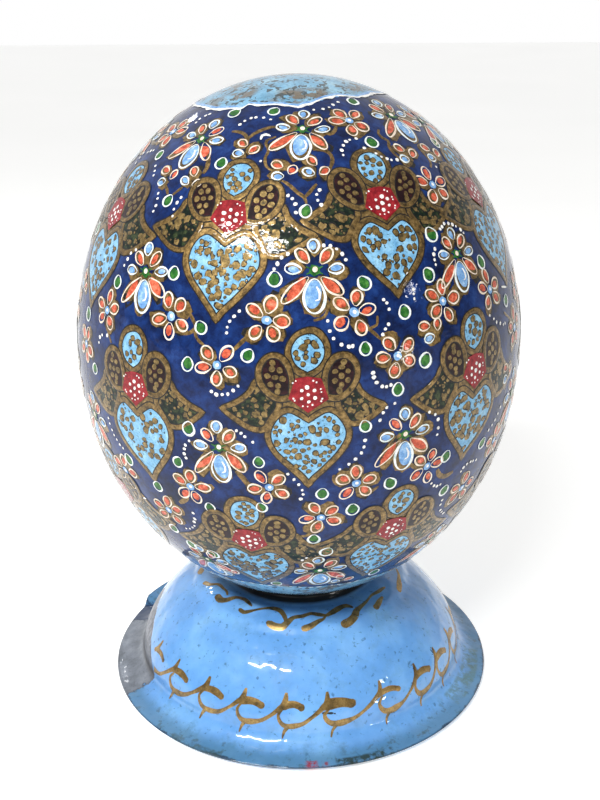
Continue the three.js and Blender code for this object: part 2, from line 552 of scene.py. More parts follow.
def orchid(azimuth, arc):
    spot = (azimuth, arc, math.radians(chance.uniform(-7, 7)), chance.uniform(0.96, 1.04))
    for colour, centre, width, height, lean, sway in orchidShape["smallPetals"]:
        lean += chance.uniform(-sway, sway) if sway else 0
        petal(colour, centre, width, height, lean, spot)
    for centre, width, height, lean in orchidShape["longPetals"]:
        petal("coralPetals", centre, width, height, lean, spot, taper=0.5, body=0.78)
    # the large lower petal, with a white glint
    oval(paint["goldWork"], (chance.uniform(-0.5, 0.5), -5.9), 6.0, 8.9, 0, spot, paintLift["halo"], sides=18,
         ridge=0.02, wobble=0.1)
    oval(paint["bluePetals"], (chance.uniform(-0.6, 0.5), -5.3), 3.7, 6.4, chance.uniform(-8, 8), spot,
         paintLift["petal"] + 0.01, sides=18)
    ring(paint["paleLines"], (0, -5.7), 4.8, 7.7, 180, 0.56, spot, paintLift["line"], 0.25)
    stroke(paint["whiteDots"], orchidShape["glint"], orchidShape["glintWidths"], spot, paintLift["glint"])
    oval(paint["greenLeaves"], (0, 0), 2.2, 2.5, 30, spot, paintLift["dot"], sides=10, wobble=0.22)
    reach = orchidShape["calyxReach"]
    for lean in orchidShape["calyxLeans"]:
        tip = (reach * math.cos(math.radians(lean)), reach * math.sin(math.radians(lean)))
        stroke(paint["greenLeaves"], [(0, 0), tip], [0.6, 0.2], spot, paintLift["line"])
    oval(paint["creamLines"], (0.1, 0.2), 1.2, 1.3, 0, spot, paintLift["glint"], sides=9)


def fiveFlower(azimuth, arc):
    spot = (azimuth, arc, 0.0, chance.uniform(0.95, 1.06))
    first = chance.uniform(0, 72)
    for i in range(5):
        a = first + 72 * i + chance.uniform(-9, 9)
        reach = chance.uniform(3.1, 3.6)
        x, y = reach * math.cos(math.radians(a)), reach * math.sin(math.radians(a))
        petal("coralPetals", (x, y), chance.uniform(2.4, 2.9), chance.uniform(3.4, 4.2), a - 90, spot)
    oval(paint["bluePetals"], (0, 0), 2.2, 2.1, 0, spot, paintLift["dot"], sides=11, wobble=0.08)
    oval(paint["whiteDots"], (0.1, 0.1), 0.9, 0.9, 0, spot, paintLift["glint"], sides=8)


def trefoil(azimuth, arc, turn):
    spot = (azimuth, arc, math.radians(turn), 1.0)
    petal("coralPetals", (-1.2, 1.7), 2.2, 3.0, 55, spot)
    petal("coralPetals", (2.0, -0.3), 2.1, 2.8, -40, spot)
    petal("bluePetals", (-1.6, -1.5), 2.2, 2.8, 80, spot)


def greenLeaf(azimuth, arc):
    spot = (azimuth, arc, math.radians(chance.uniform(-35, 35)), chance.uniform(0.9, 1.1))
    oval(paint["greenLeaves"], (chance.uniform(-0.15, 0.15), chance.uniform(-0.2, 0.2)), 2.4, 2.6, 0, spot,
         paintLift["petal"], sides=12, wobble=0.08)
    ring(paint["paleLines"], (0, 0), 3.0, 3.4, 180, 0.46, spot, paintLift["line"], 0.3)


# Where the motifs stand, as azimuth in degrees and arc from the upper pole in millimetres.
# The lists cover the front half; the same half is painted again at the back.
layout = {
    # each palmette: azimuth, arc, turn in degrees, manner of its flecks, sizes of its heart and two leaves
    "palmettes": [(-63, 64, 4, "clustered", 0.96, 1, 1), (-18.5, 60, 0, "mottled", 0.95, 1, 1),
                  (24, 57, -2, "clustered", 0.86, 0.95, 0.86), (66, 59, -4, "spotted", 1, 1, 1),
                  (-40, 104, 5, "clustered", 1, 0.95, 0.95), (2, 100.5, 0, "spotted", 0.94, 1, 0.82),
                  (44, 101, -3, "mottled", 0.93, 0.95, 1), (-13.5, 144, 0, "mottled", 0.95, 1, 1),
                  (25, 142.5, -3, "spotted", 0.95, 1, 1), (-58, 141, 3, "spotted", 0.95, 1, 1),
                  (68, 141, -4, "clustered", 0.95, 1, 1)],
    "sidePalmettes": [(90, 101, 0, "spotted"), (-90, 102, 0, "clustered")],
    "orchids": [(-40, 39.4), (2, 35), (50.5, 32), (-40, 75.4), (3.7, 72), (43.4, 72), (-18, 115),
                (23.8, 112.8), (6, 157.8), (-61, 118), (66, 114), (91, 70), (-82, 42), (47, 157),
                (-31, 158), (94, 156), (72, 36)],
    "fiveFlowers": [(-62, 38.7), (24, 32.5), (44.5, 54), (-30, 84.4), (-52, 87), (-7, 83.5), (12.4, 82),
                    (35.4, 82), (53.4, 82.7), (-18, 94.4), (21.8, 93), (-62.5, 98.7), (66, 96), (-7, 125),
                    (13, 124.6), (31, 123.4), (-26.6, 128), (5, 134.7), (-50, 130.6), (-36.4, 138.7),
                    (47, 136), (58, 125), (85, 50), (-76, 91), (74, 87), (-80, 127), (82, 126),
                    (-75, 113), (70, 160), (-76, 162), (-84, 58), (-70, 128)],
    "trefoils": [(-18.7, 41.6, 0), (-45, 51, 20), (-34, 51, -20), (-4.5, 47.5, 10), (5.8, 47, -15),
                 (41, 44.5, 0), (54.5, 45.6, 0), (31, 88, 30), (84, 35, 20), (91, 134, 0), (-25, 163, 20),
                 (15, 165, -10), (60, 106, 10), (-70, 84, -20)],
    "leaves": [(-33, 29.6), (-12, 28.4), (35, 24.8), (28.7, 40), (-57, 46), (-26, 46), (-40, 57.5),
               (2, 58), (36.5, 66), (52.4, 75.5), (-49.5, 79.4), (-31, 74.4), (-5.6, 74), (15.3, 75.4),
               (32.6, 75.2), (-22, 86), (-25, 95), (-11, 91.6), (14.5, 90.5), (24.4, 83), (29, 95),
               (-62.5, 90.6), (-56.8, 103.5), (-25, 111), (-29, 121), (-37.3, 131), (-46.4, 125.6),
               (-9, 118), (14.4, 109), (21.8, 101), (61.4, 87.5), (50.5, 123), (36.5, 122), (21.3, 125.9),
               (5.2, 127), (12.7, 132.7), (-9, 131.5), (-22.3, 133.7), (3.5, 142.5), (7.3, 148.3),
               (-37.8, 146.5), (-74, 70), (80, 110), (-72, 134), (74, 132), (-85, 84), (39, 133.5),
               (-34, 152), (-27, 153.8), (-8.5, 167), (27, 165), (63, 43), (78, 45), (90, 39), (-88, 50),
               (85, 83), (99, 60), (91, 126), (84, 152), (-72, 154), (82, 165), (105, 166), (58, 164)],
    "dotRows": [
        [(-51.6, 34.3), (-51.6, 32.9), (-49.7, 31.5), (-48.1, 30.7)],
        [(-26.1, 33.8), (-24.7, 32.5), (-22.1, 31.4), (-19.7, 31), (-16, 31), (-12.6, 31.7)],
        [(-35.5, 56.3), (-36.2, 57.7), (-36.5, 59.3), (-36.1, 61)],
        [(-45.1, 56.1), (-44.4, 57.4), (-43.8, 59.2), (-43.9, 60.6)],
        [(-2.9, 54.2), (-1.7, 55), (-0.9, 56.3), (-0.7, 58.4)], [(-12.3, 45)],
        [(-54.5, 49.2), (-53, 50.5), (-52, 51.7)],
        [(8.2, 27.8), (13.5, 27.5), (17.2, 26.9), (20.3, 25.9), (24.7, 24.8)],
        [(23.2, 38.7), (20.3, 39), (18.5, 39.5), (16.8, 40.7), (15.6, 42.1), (15.6, 43.5)],
        [(24.5, 41.8), (28.1, 43.7), (29.7, 44.7), (31.4, 45.4), (32.9, 45.9), (35.2, 46.1)],
        [(6.3, 52.8), (5.4, 54), (5.5, 55.5), (6.3, 56.7)],
        [(51.3, 49.7), (54.3, 49.2), (56, 49.4), (58.7, 49.3)],
        [(-45.4, 70.7), (-47, 71.8), (-47.7, 73.4), (-48.4, 75.1)],
        [(-5.8, 71.7), (-5, 70.5), (-4, 69.1), (-2.5, 68.3)],
        [(-13.3, 81.7), (-14.4, 83), (-15.3, 84.2), (-15.8, 85.6), (-15.9, 86.9)],
        [(6.4, 66.5), (8, 66.7), (9.5, 67.4), (10.7, 68.6), (11.4, 69.9)],
        [(40.1, 65.1), (41, 64.7), (42.2, 64.1), (43.9, 64.3), (45.4, 64.8), (46.5, 65.4),
         (47.9, 66.4), (48.6, 67.4)],
        [(36.3, 69.6), (35.5, 70.8), (35.3, 72.1), (35.3, 73.3)],
        [(19.5, 79.7), (20.2, 80.5), (20.6, 82)], [(20.3, 85.3), (19.5, 86.3), (18.8, 87.5)],
        [(6.5, 83.7), (6.9, 86), (7.6, 87.6), (9.2, 89), (10.8, 89.6), (11.6, 89.6)],
        [(27.4, 78.3), (27.4, 79.4), (27.4, 80.5)],
        [(51.3, 88.7), (53, 90), (54.2, 91.2), (56.1, 92), (57.8, 92.7), (58.9, 92.7)],
        [(-54.6, 96), (-54.2, 94.5), (-53.2, 93.7), (-50.9, 93.2)],
        [(-19.1, 100.9), (-18, 101.5), (-16.6, 101.3), (-15.3, 101), (-14.1, 100.1), (-13, 99)],
        [(-25.1, 114.3), (-26.2, 115.7), (-26.6, 116.8), (-26.8, 118.2), (-26.5, 119.3)],
        [(-13.7, 110.1), (-12.7, 110.7), (-11.9, 111.5), (-10.1, 112.7)],
        [(-52.1, 115.6), (-51.9, 117.1), (-51.4, 118.7), (-50.9, 120), (-50, 121), (-49, 122.1),
         (-47.8, 122.7)],
        [(-2.7, 121), (-1.3, 122.6), (-0.2, 124.1), (0.6, 125.8), (0.8, 127.1), (0.2, 128.5)],
        [(16, 96.2), (16.2, 97.3), (16.8, 98.7), (18, 99.8), (19, 100), (20.1, 99.8)],
        [(21.1, 104.3), (19.2, 105), (18.4, 106.1), (17.7, 107.9)],
        [(14.3, 112.8), (14.1, 114.5), (13.6, 116), (12.4, 117.6), (11, 118.9), (8.9, 120.2)],
        [(30, 108.3), (31.6, 109.3), (32.5, 110.7), (32.7, 113), (32.6, 114.9)],
        [(57.5, 115), (56.5, 116.6), (55.3, 118), (54, 119), (52.5, 120)],
        [(-27.9, 137.1), (-28, 139.2), (-28.5, 140.5), (-28.9, 142.2), (-29.8, 143.1), (-31, 144),
         (-32.4, 144.4)],
        [(33.6, 129.3), (34.7, 130.4), (35.8, 130.9), (36.9, 130.7)],
        [(43.9, 129.3), (44.6, 128.3), (45.7, 127.6), (47.2, 127.4), (48.3, 127.6), (49.8, 127.9)],
        [(39.7, 137.1), (39.8, 138.7), (40.9, 141.1), (42, 142.2), (43.3, 143.3)],
        [(-68, 46.3), (-66, 45.6), (-64, 45.3)], [(-72, 47.1), (-72, 48.6), (-72, 50.2)],
        [(0.8, 151.8), (2, 150.8)], [(-70, 96), (-71, 98), (-71, 100)], [(84, 90), (83, 92), (81, 93.5)],
        [(-80, 118), (-82, 119.5), (-84, 120.4)], [(72, 104), (73, 106), (74, 107.6), (76, 108.6)],
        [(93, 45), (94, 47), (94, 49), (93, 51)], [(79, 55), (81, 57), (84, 58.5), (87, 59)],
        [(83, 72), (82, 74), (82, 76), (83, 78)], [(100, 74), (101, 76), (101, 78), (99, 80)],
        [(93, 121), (95, 122.4), (97, 123)], [(86, 138), (88, 140), (91, 141), (94, 140), (96, 138)],
        [(103, 150), (104, 152), (104, 154), (103, 156)], [(60, 152), (61, 154), (63, 156)],
    ],
    "stems": [
        ([(-28.2, 36.1), (-24.7, 36.2), (-21.2, 37.2), (-19.4, 38.6), (-18.7, 40)], 1.0),
        ([(-19.4, 38.6), (-17.6, 36.8), (-14.5, 35.3), (-11.3, 34.3), (-8.5, 34.2)], 1.0),
        ([(-8.5, 37.4), (-11.6, 38.8), (-11.8, 39.9), (-10.2, 41.8), (-10.9, 44.2), (-10, 46.5),
          (-8.1, 47.6)], 0.8),
        ([(-33.8, 43.4), (-32.1, 44.9), (-30.7, 47.2), (-31, 49.2)], 1.2),
        ([(-18.7, 43.5), (-18.7, 46)], 1.4),
        ([(-4.9, 50.5), (-2.8, 51.5), (0, 53.6), (1.6, 54.6), (2.2, 56.4)], 0.9),
        ([(5.6, 51.1), (3.5, 53.2), (1.9, 54.6)], 0.9), ([(-43.7, 53.6), (-42, 55), (-41.2, 56)], 0.8),
        ([(-36.6, 53.6), (-38.2, 55), (-39.2, 56)], 0.8),
        ([(5.6, 41.8), (7.8, 41.4), (10.8, 42.6), (11.5, 44.7), (10.2, 47.5)], 1.0),
        ([(10, 35.4), (13, 37), (15.6, 36), (17.1, 34.1)], 1.0),
        ([(12.6, 31.3), (14.9, 32.1), (16.7, 31.7)], 0.8),
        ([(35.7, 36.2), (34.2, 37.4), (34.6, 39), (36.4, 40.2), (34.9, 42.2), (35.7, 44.7),
          (37.2, 46.3)], 1.0),
        ([(49.4, 43.4), (49.4, 44.7), (50.2, 47.9), (48.4, 49.4)], 0.9),
        ([(-25.7, 82.3), (-24, 84.6), (-23.3, 86.2), (-25, 87.7), (-27.4, 88.1)], 0.9),
        ([(-23.5, 86.8), (-22.9, 88.7), (-21.1, 90.2)], 0.9),
        ([(-9.4, 86), (-12.3, 88.5), (-13.7, 90), (-15.2, 91.4)], 0.9),
        ([(6.1, 77.9), (6.7, 80.3), (5.6, 82.8), (3.3, 83.6)], 0.8),
        ([(14.9, 85.6), (16.7, 87), (18.2, 88.6)], 0.8), ([(17.8, 83.2), (17.5, 85.2), (15.2, 86)], 0.7),
        ([(7.6, 121.6), (7.8, 123.6), (9.5, 125.2)], 1.0),
        ([(34.6, 125.3), (35.7, 127.4), (38, 128.6), (40.6, 128.2)], 1.5),
        ([(25.7, 121), (27.5, 122.8), (29.5, 123.5)], 1.0),
        ([(-31.4, 134.8), (-29.6, 133.3), (-28.2, 131.8)], 1.4),
        ([(-14.2, 121), (-12.4, 123.4), (-11.2, 126.2)], 1.4), ([(16.2, 128.3), (18.4, 126.5)], 0.7),
        ([(-51, 92), (-49, 94.6)], 0.8), ([(43, 62), (46, 61), (49, 58)], 0.8),
        ([(-5, 139), (0.4, 141.4), (3, 140)], 1.0), ([(59, 90), (62, 92), (64, 93.5)], 0.8),
        ([(58, 31), (64, 33), (68, 36)], 1.0), ([(-66, 42), (-70, 43.5), (-76, 43)], 1.0),
        ([(77, 42), (80, 45), (83, 46)], 1.0), ([(88, 52), (92, 55), (92, 60), (91, 63)], 1.1),
        ([(86, 129), (88, 132), (90, 134)], 0.9), ([(76, 157), (82, 158), (88, 157)], 1.1),
    ],
    "whiteStrokes": [
        ([(-14.1, 38.8), (-13.9, 37.4), (-12.7, 37), (-10.7, 37.4)], 0.8),
        ([(60, 83.5), (63.5, 84.5)], 0.6), ([(-46.2, 138.6), (-44.6, 138)], 0.7),
    ],
}
# the scalloped edge of the pale cap on top, all the way round, and the pale base
capEdge = [(-85, 28.6), (-72, 28.9), (-60, 28.6), (-50, 28.9), (-40, 28.2), (-31, 27.6), (-29, 26.0),
           (-20, 25.8), (-8, 25.6), (0, 26.6), (4, 25.6), (9, 25.0), (14, 23.4), (22, 22.3), (30, 21.7),
           (34, 22.4), (42, 23.2), (52, 22.6), (62, 22.0), (75, 22.9), (88, 24.0), (102, 25.6),
           (115, 24.4), (128, 22.8), (141, 23.8), (154, 25.4), (166, 26.6), (180, 25.0), (194, 24.2),
           (207, 26.2), (220, 27.2), (233, 26.0), (246, 27.4), (262, 28.0), (275, 28.6)]
baseEdge = {"arc": 169.6, "dashes": 96}


def bend(points, by):
    return [(a + by, s) for a, s in points]


def capEdgeAt(azimuth):
    turned = (azimuth + 85) % 360 - 85
    for (a, s), (b, t) in zip(capEdge, capEdge[1:]):
        if a <= turned <= b:
            return s + (t - s) * (turned - a) / (b - a)
    return capEdge[0][1]


def baseEdgeAt(azimuth):
    turn = math.radians(azimuth)
    return baseEdge["arc"] + 0.35 * math.sin(turn * 9) + 0.2 * math.sin(turn * 23)


washShape = {"around": 240, "capRows": 14, "baseRows": 22}
bandShape = {"around": 360, "noise": 14.0, "noiseAcross": 0.7, "uneven": 0.9, "ridge": 0.06}


def washPatch(edgeAt, poleArc, rows):
    # a patch of wash from an edge that runs round the egg to one of its poles
    bm = paint["capWash"]["mesh"]
    grid = bmesh.ops.create_grid(bm, x_segments=washShape["around"], y_segments=rows, size=1)["verts"]
    for v in grid:
        azimuth = v.co.x * 180
        share = (v.co.y + 1) / 2
        v.co = Vector((azimuth, poleArc + (edgeAt(azimuth) - poleArc) * share, paintLift["wash"]))


def aroundCap(colour, width, lift, below=0.0, wander=0.25):
    # an uneven band that follows the cap's edge all the way round
    bm, reach, thin = paint[colour]["mesh"], bandShape["noise"], bandShape["noiseAcross"]
    grid = bmesh.ops.create_grid(bm, x_segments=bandShape["around"], y_segments=2, size=1)["verts"]
    for v in grid:
        azimuth = v.co.x * 180
        across = v.co.y
        turn = math.radians(azimuth)
        at = Vector((math.sin(turn) * reach, math.cos(turn) * reach, across * thin + below))
        uneven = noise.noise(at)
        half = width / 2 * (1 + bandShape["uneven"] * uneven)
        arc = capEdgeAt(azimuth) + below + across * half + wander * uneven
        v.co = Vector((azimuth, arc, lift + bandShape["ridge"] * (1 - across * across)))


motifs = {
    "palmettes": palmette, "orchids": orchid, "fiveFlowers": fiveFlower, "trefoils": trefoil,
    "leaves": greenLeaf,
}
rowDot = 0.95  # across a dot of the dot rows


def paintEdges():
    washPatch(capEdgeAt, 0.0, washShape["capRows"])
    washPatch(baseEdgeAt, eggTable["length"], washShape["baseRows"])
    aroundCap("whiteDots", 0.9, paintLift["line"])
    aroundCap("bluePetals", 1.3, paintLift["petal"], below=-0.7, wander=0.5)
    for i in range(baseEdge["dashes"]):
        azimuth = 360 * i / baseEdge["dashes"] + chance.uniform(-0.6, 0.6)
        oval(paint["whiteDots"], (0, 0), chance.uniform(0.8, 1.7), 0.55, chance.uniform(-6, 6),
             (azimuth, baseEdgeAt(azimuth), 0.0, 1.0), paintLift["line"], sides=8, wobble=0.15)


def paintHalf(half):
    for name, motif in motifs.items():
        for azimuth, *rest in layout[name]:
            motif(azimuth + half, *rest)
    for row in layout["dotRows"]:
        for azimuth, arc in row:
            spot = (azimuth + half, arc, 0.0, 1.0)
            dots(paint["whiteDots"], [(0, 0)], rowDot, spot, paintLift["line"])
    for points, width in layout["stems"]:
        spot, flat = laidFlat(eggTable, bend(points, half))
        widths = [width * 0.6, width, width * chance.uniform(0.8, 1.2), width, width * 0.6]
        stroke(paint["goldWork"], flat, widths, spot, paintLift["stem"])
    for points, width in layout["whiteStrokes"]:
        spot, flat = laidFlat(eggTable, bend(points, half))
        widths = [width * 0.4, width, width, width * 0.3]
        stroke(paint["whiteDots"], flat, widths, spot, paintLift["line"])


def paintEgg():
    paintEdges()
    paintHalf(0)
    paintHalf(180)
    for azimuth, arc, *manner in layout["sidePalmettes"]:
        palmette(azimuth, arc, *manner)


paintEgg()
stage("egg painted")

# ---- the stand's gold scrolls, as azimuth and arc from the collar's foot
scrollUnits = [
    # azimuth of the upright tick, distance back to the one before, width and length of the club
    (-64, 14, 1.5, 5.5), (-50, 14.5, 2.0, 6.5), (-34, 15.5, 2.0, 6), (-19.5, 15, 2.2, 6),
    (-5, 14.5, 2.1, 5), (9, 14.5, 2.9, 8), (28.5, 18.5, 1.8, 6.5), (45, 16, 2.1, 6),
    (58, 14, 1.9, 6.5), (72, 14.5, 2.1, 6), (87, 15, 2.0, 6), (103, 16, 2.2, 6.5), (118, 15, 1.9, 6),
    (134, 16, 2.1, 6), (149, 15, 2.3, 6.5), (164, 15, 1.9, 6), (179, 15, 2.1, 6), (195, 16, 2.0, 6.5),
    (210, 15, 2.2, 6), (225, 15, 1.8, 6),
]
scrollCuts = {0: 6, 1: 3}  # how many points of the first two stems are lost with the chipped enamel
clubBack = 2.8  # degrees that a club starts before its tick
standLift = {"scroll": 0.03, "mark": 0.02}
scrollShape = {
    "stem": [(-15.5, 31.9), (-17, 33.6), (-16, 35.7), (-13.5, 36.6), (-9, 35.9), (-5.5, 34), (-2.5, 32),
             (-0.5, 30.2), (0, 27.4)],
    "stemWidths": [0.5, 1.0, 1.5, 1.9, 1.2, 0.9, 1.3, 1.6, 0.6],
    "tail": [(-13.5, 36.4), (-15, 38.4), (-15.5, 40.2)],
    "tailWidths": [1.3, 1.0, 0.4],
    "pitch": 15.0,
}
upperStrokes = [
    ([(-91, 7.6), (-85, 8.0)], [1.2, 2.2, 1.2]),
    ([(-73.5, 7), (-70, 5.8), (-67, 3.8), (-61, 3.2), (-56, 3.2), (-52, 4.2)],
     [1.8, 1.4, 1.1, 0.9, 0.7, 0.4]),
    ([(-56, 6.2), (-52, 6.6), (-49, 5.5), (-46, 3), (-41, 2.2), (-36, 2.6), (-31.5, 3.6)],
     [2.2, 2.4, 1.8, 1.5, 1.3, 1.1, 0.4]),
    ([(-36.5, 6.3), (-33.5, 6.8), (-30, 5.5), (-25, 3.5), (-19, 2.3), (-13, 3), (-9.5, 5), (-8, 7)],
     [1.4, 1.7, 0.8, 1.1, 1.5, 1.5, 1.2, 0.8]),
    ([(-17, 8), (-14, 8.8), (-10, 8.8), (-7, 7), (-4, 5.3), (1, 4.5), (6, 3.8), (11, 4.5), (15, 5.5)],
     [1.8, 2.3, 2.3, 1.8, 1.6, 1.4, 1.3, 1.2, 0.6]),
    ([(2, 9), (6, 8.3), (10, 7), (13, 6.3), (14.5, 5.5)], [2.2, 2.2, 1.7, 1.4, 0.6]),
    ([(14, 5.5), (20, 4.3), (26, 3.3), (30, 3.4), (33, 5)], [0.8, 1.7, 2.0, 1.5, 0.7]),
    ([(22.5, 9.2), (26, 9), (30, 8), (33, 6.5), (36, 5.8), (42, 5), (50, 4), (56, 4.2), (64, 5)],
     [2.3, 2.5, 1.9, 1.3, 1.0, 0.9, 1.0, 1.0, 0.5]),
    ([(45, 8), (50, 7.3), (55, 6.5)], [1.9, 2.0, 0.7]),
    ([(68, 9), (73, 8.3), (80, 7.5), (88, 6.6)], [1.9, 1.8, 1.0, 0.5]),
]
upperRepeat = {"first": 96, "last": 250, "pitch": 21,
               "shape": [(0, 8.2), (4, 8.4), (8, 6.4), (12, 3.8), (18, 2.8), (24, 3.6), (27, 5.2)],
               "widths": [1.9, 2.2, 1.6, 1.4, 1.3, 1.1, 0.4]}
darkMarks = [
    ([(6.8, 33.0), (10.4, 33.4)], 0.8), ([(56.5, 27.5), (57, 29)], 0.6),
    ([(44.5, 27.3), (44.8, 28.2)], 0.6),
]


def standStroke(canvas, points, widths):
    spot, flat = laidFlat(standTable, points)
    uneven = [w * chance.uniform(0.88, 1.15) for w in widths]
    stroke(canvas, flat, uneven, spot, standLift["scroll"] + chance.uniform(0, 0.01), rows=3, ridge=0.04)


def roundEnd(canvas, at, width):
    oval(canvas, (0, 0), width * 0.95, width * 0.92, 0, (*at, 0.0, 1.0), standLift["scroll"], sides=12,
         ridge=0.035, wobble=0.07)


def paintScrolls(gold):
    for number, (tick, back, clubWidth, clubLength) in enumerate(scrollUnits):
        stretch = back / scrollShape["pitch"]
        stem = [(tick + a * stretch, s) for a, s in scrollShape["stem"]]
        tail = [(tick + a * stretch, s) for a, s in scrollShape["tail"]]
        if number in scrollCuts:
            stem, tail = stem[scrollCuts[number]:], []
        clubEnd = tick + clubLength
        club = [(tick - clubBack, 31.9), (tick + 0.5, 30.8), (tick + clubLength * 0.6, 30.7),
                (clubEnd, 31.5)]
        standStroke(gold, stem, scrollShape["stemWidths"][-len(stem):])
        if tail:
            standStroke(gold, tail, scrollShape["tailWidths"])
        standStroke(gold, club, [0.9, clubWidth, clubWidth, clubWidth * 0.75])
        roundEnd(gold, club[-1], clubWidth)
    strokes = list(upperStrokes)
    for start in range(upperRepeat["first"], upperRepeat["last"], upperRepeat["pitch"]):
        strokes.append((bend(upperRepeat["shape"], start), upperRepeat["widths"]))
    for points, widths in strokes:
        standStroke(gold, points, widths)
        roundEnd(gold, points[0], widths[0])


def paintMarks(canvas):
    # small smears, each with crumbs beside it
    for points, width in darkMarks:
        spot, flat = laidFlat(standTable, points)
        widths = [width * 0.5, width, width * 0.6, width * 0.9, width * 0.4]
        stroke(canvas, flat, widths, spot, standLift["mark"], ridge=0.01)
        for x, y in flat:
            aside = (x + chance.uniform(-1, 1), y + chance.uniform(-0.5, 0.5))
            oval(canvas, aside, width * 0.7, width * 0.5, 0, spot, standLift["mark"], sides=8, ridge=0.01,
                 wobble=0.3)


# ---- materials
def linear(red, green, blue):
    def channel(value):
        value /= 255
        return value / 12.92 if value <= 0.04045 else ((value + 0.055) / 1.055) ** 2.4
    return (channel(red), channel(green), channel(blue), 1.0)


def newMaterial(name, roughness, coat, coatRoughness=0.02, metallic=0.0, specular=0.5, coatIor=1.5):
    material = bpy.data.materials.new(name)
    material.use_nodes = True
    nodes, links = material.node_tree.nodes, material.node_tree.links
    shader = nodes["Principled BSDF"]
    shader.inputs["Roughness"].default_value = roughness
    shader.inputs["Metallic"].default_value = metallic
    shader.inputs["Specular IOR Level"].default_value = specular
    shader.inputs["Coat Weight"].default_value = coat
    shader.inputs["Coat Roughness"].default_value = coatRoughness
    shader.inputs["Coat IOR"].default_value = coatIor
    coords = nodes.new("ShaderNodeTexCoord")
    return material, nodes, links, shader, coords.outputs["Object"]


def noiseOf(nodes, links, vector, scale, detail=4.0, rough=0.55, distortion=0.0):
    node = nodes.new("ShaderNodeTexNoise")
    node.inputs["Scale"].default_value = scale
    node.inputs["Detail"].default_value = detail
    node.inputs["Roughness"].default_value = rough
    node.inputs["Distortion"].default_value = distortion
    links.new(vector, node.inputs["Vector"])
    return node.outputs["Fac"]


def rampOf(nodes, links, value, stops):
    node = nodes.new("ShaderNodeValToRGB")
    elements = node.color_ramp.elements
    while len(elements) < len(stops):
        elements.new(0.5)
    for element, (position, colour) in zip(elements, stops):
        element.position = position
        element.color = colour
    links.new(value, node.inputs["Fac"])
    return node.outputs["Color"]


def plugIn(links, socket, value):
    if isinstance(value, bpy.types.NodeSocket):
        links.new(value, socket)
    else:
        socket.default_value = value


def mixOf(nodes, links, share, first, second, blend="MIX"):
    node = nodes.new("ShaderNodeMix")
    node.data_type = "RGBA"
    node.blend_type = blend
    for number, value in ((0, share), (6, first), (7, second)):
        plugIn(links, node.inputs[number], value)
    return node.outputs[2]


def mathOf(nodes, links, operation, *values, clamp=False):
    node = nodes.new("ShaderNodeMath")
    node.operation = operation
    node.use_clamp = clamp
    for socket, value in zip(node.inputs, values):
        plugIn(links, socket, value)
    return node.outputs[0]


def easeOf(nodes, links, value, low, high):
    # 0 at low and 1 at high, smooth between; low may be the larger one
    node = nodes.new("ShaderNodeMapRange")
    node.interpolation_type = "SMOOTHSTEP"
    plugIn(links, node.inputs["Value"], value)
    node.inputs["From Min"].default_value = min(low, high)
    node.inputs["From Max"].default_value = max(low, high)
    node.inputs["To Min"].default_value = 0.0 if low < high else 1.0
    node.inputs["To Max"].default_value = 1.0 if low < high else 0.0
    return node.outputs["Result"]


def toolsFor(nodes, links):
    # the helpers above, for materials with many steps
    return [partial(helper, nodes, links) for helper in (mathOf, easeOf, noiseOf, mixOf, rampOf)]


def bumpOf(nodes, links, height, distance, strength=1.0, normal=None):
    node = nodes.new("ShaderNodeBump")
    node.inputs["Strength"].default_value = strength
    node.inputs["Distance"].default_value = distance
    links.new(height, node.inputs["Height"])
    if normal is not None:
        links.new(normal, node.inputs["Normal"])
    return node.outputs["Normal"]


def grey(value):
    return (value, value, value, 1.0)


white = grey(1.0)
lacquer = {
    "roughness": 0.5, "specular": 0.08, "coat": 1.0, "coatIor": 1.27, "waveScale": 600, "waveDepth": 0.00009,
}
paintLooks = {
    # name: (middle colour, darker, lighter, scale of the change of colour, scale of the fine flecks)
    "goldWork": (linear(122, 98, 58), linear(56, 48, 36), linear(170, 140, 88), 900, 2600),
    "goldSpots": (linear(130, 108, 66), linear(68, 60, 44), linear(174, 148, 96), 900, 2600),
    "umberShades": (linear(34, 34, 34), linear(18, 20, 24), linear(64, 56, 42), 1200, 5000),
    "turquoiseFields": (linear(126, 180, 214), linear(98, 156, 198), linear(162, 206, 228), 420, 1900),
    "plumFields": (linear(30, 12, 16), linear(12, 6, 10), linear(58, 24, 28), 700, 3200),
    "shadowLeaves": (linear(18, 32, 24), linear(6, 12, 12), linear(74, 84, 50), 620, 3200),
    "redHearts": (linear(140, 28, 36), linear(98, 16, 26), linear(172, 50, 56), 700, 3000),
    "coralPetals": (linear(204, 90, 62), linear(140, 58, 44), linear(236, 142, 112), 800, 3200),
    "bluePetals": (linear(122, 168, 216), linear(84, 132, 194), linear(186, 214, 238), 700, 3000),
    "creamLines": (linear(240, 224, 204), linear(206, 176, 152), linear(252, 246, 234), 700, 3600),
    "paleLines": (linear(236, 242, 240), linear(186, 208, 206), linear(254, 254, 250), 700, 3600),
    "greenLeaves": (linear(44, 104, 42), linear(24, 70, 32), linear(84, 142, 64), 800, 3000),
    "whiteDots": (linear(244, 242, 236), linear(206, 208, 212), linear(254, 254, 250), 900, 3600),
}
goldFinish = {"metallic": 0.55, "roughness": 0.42}
brushSpecks = {"colour": linear(52, 84, 104), "scale": 1300, "from": (0.645, 0.685)}


def lacquerBump(nodes, links, at):
    # the low waves of lacquer laid on with a brush
    waves = noiseOf(nodes, links, at, lacquer["waveScale"], 2, 0.45)
    return bumpOf(nodes, links, waves, lacquer["waveDepth"])


def lacquered(name, metallic=0.0):
    return newMaterial(name, lacquer["roughness"], lacquer["coat"], metallic=metallic,
                       specular=lacquer["specular"], coatIor=lacquer["coatIor"])


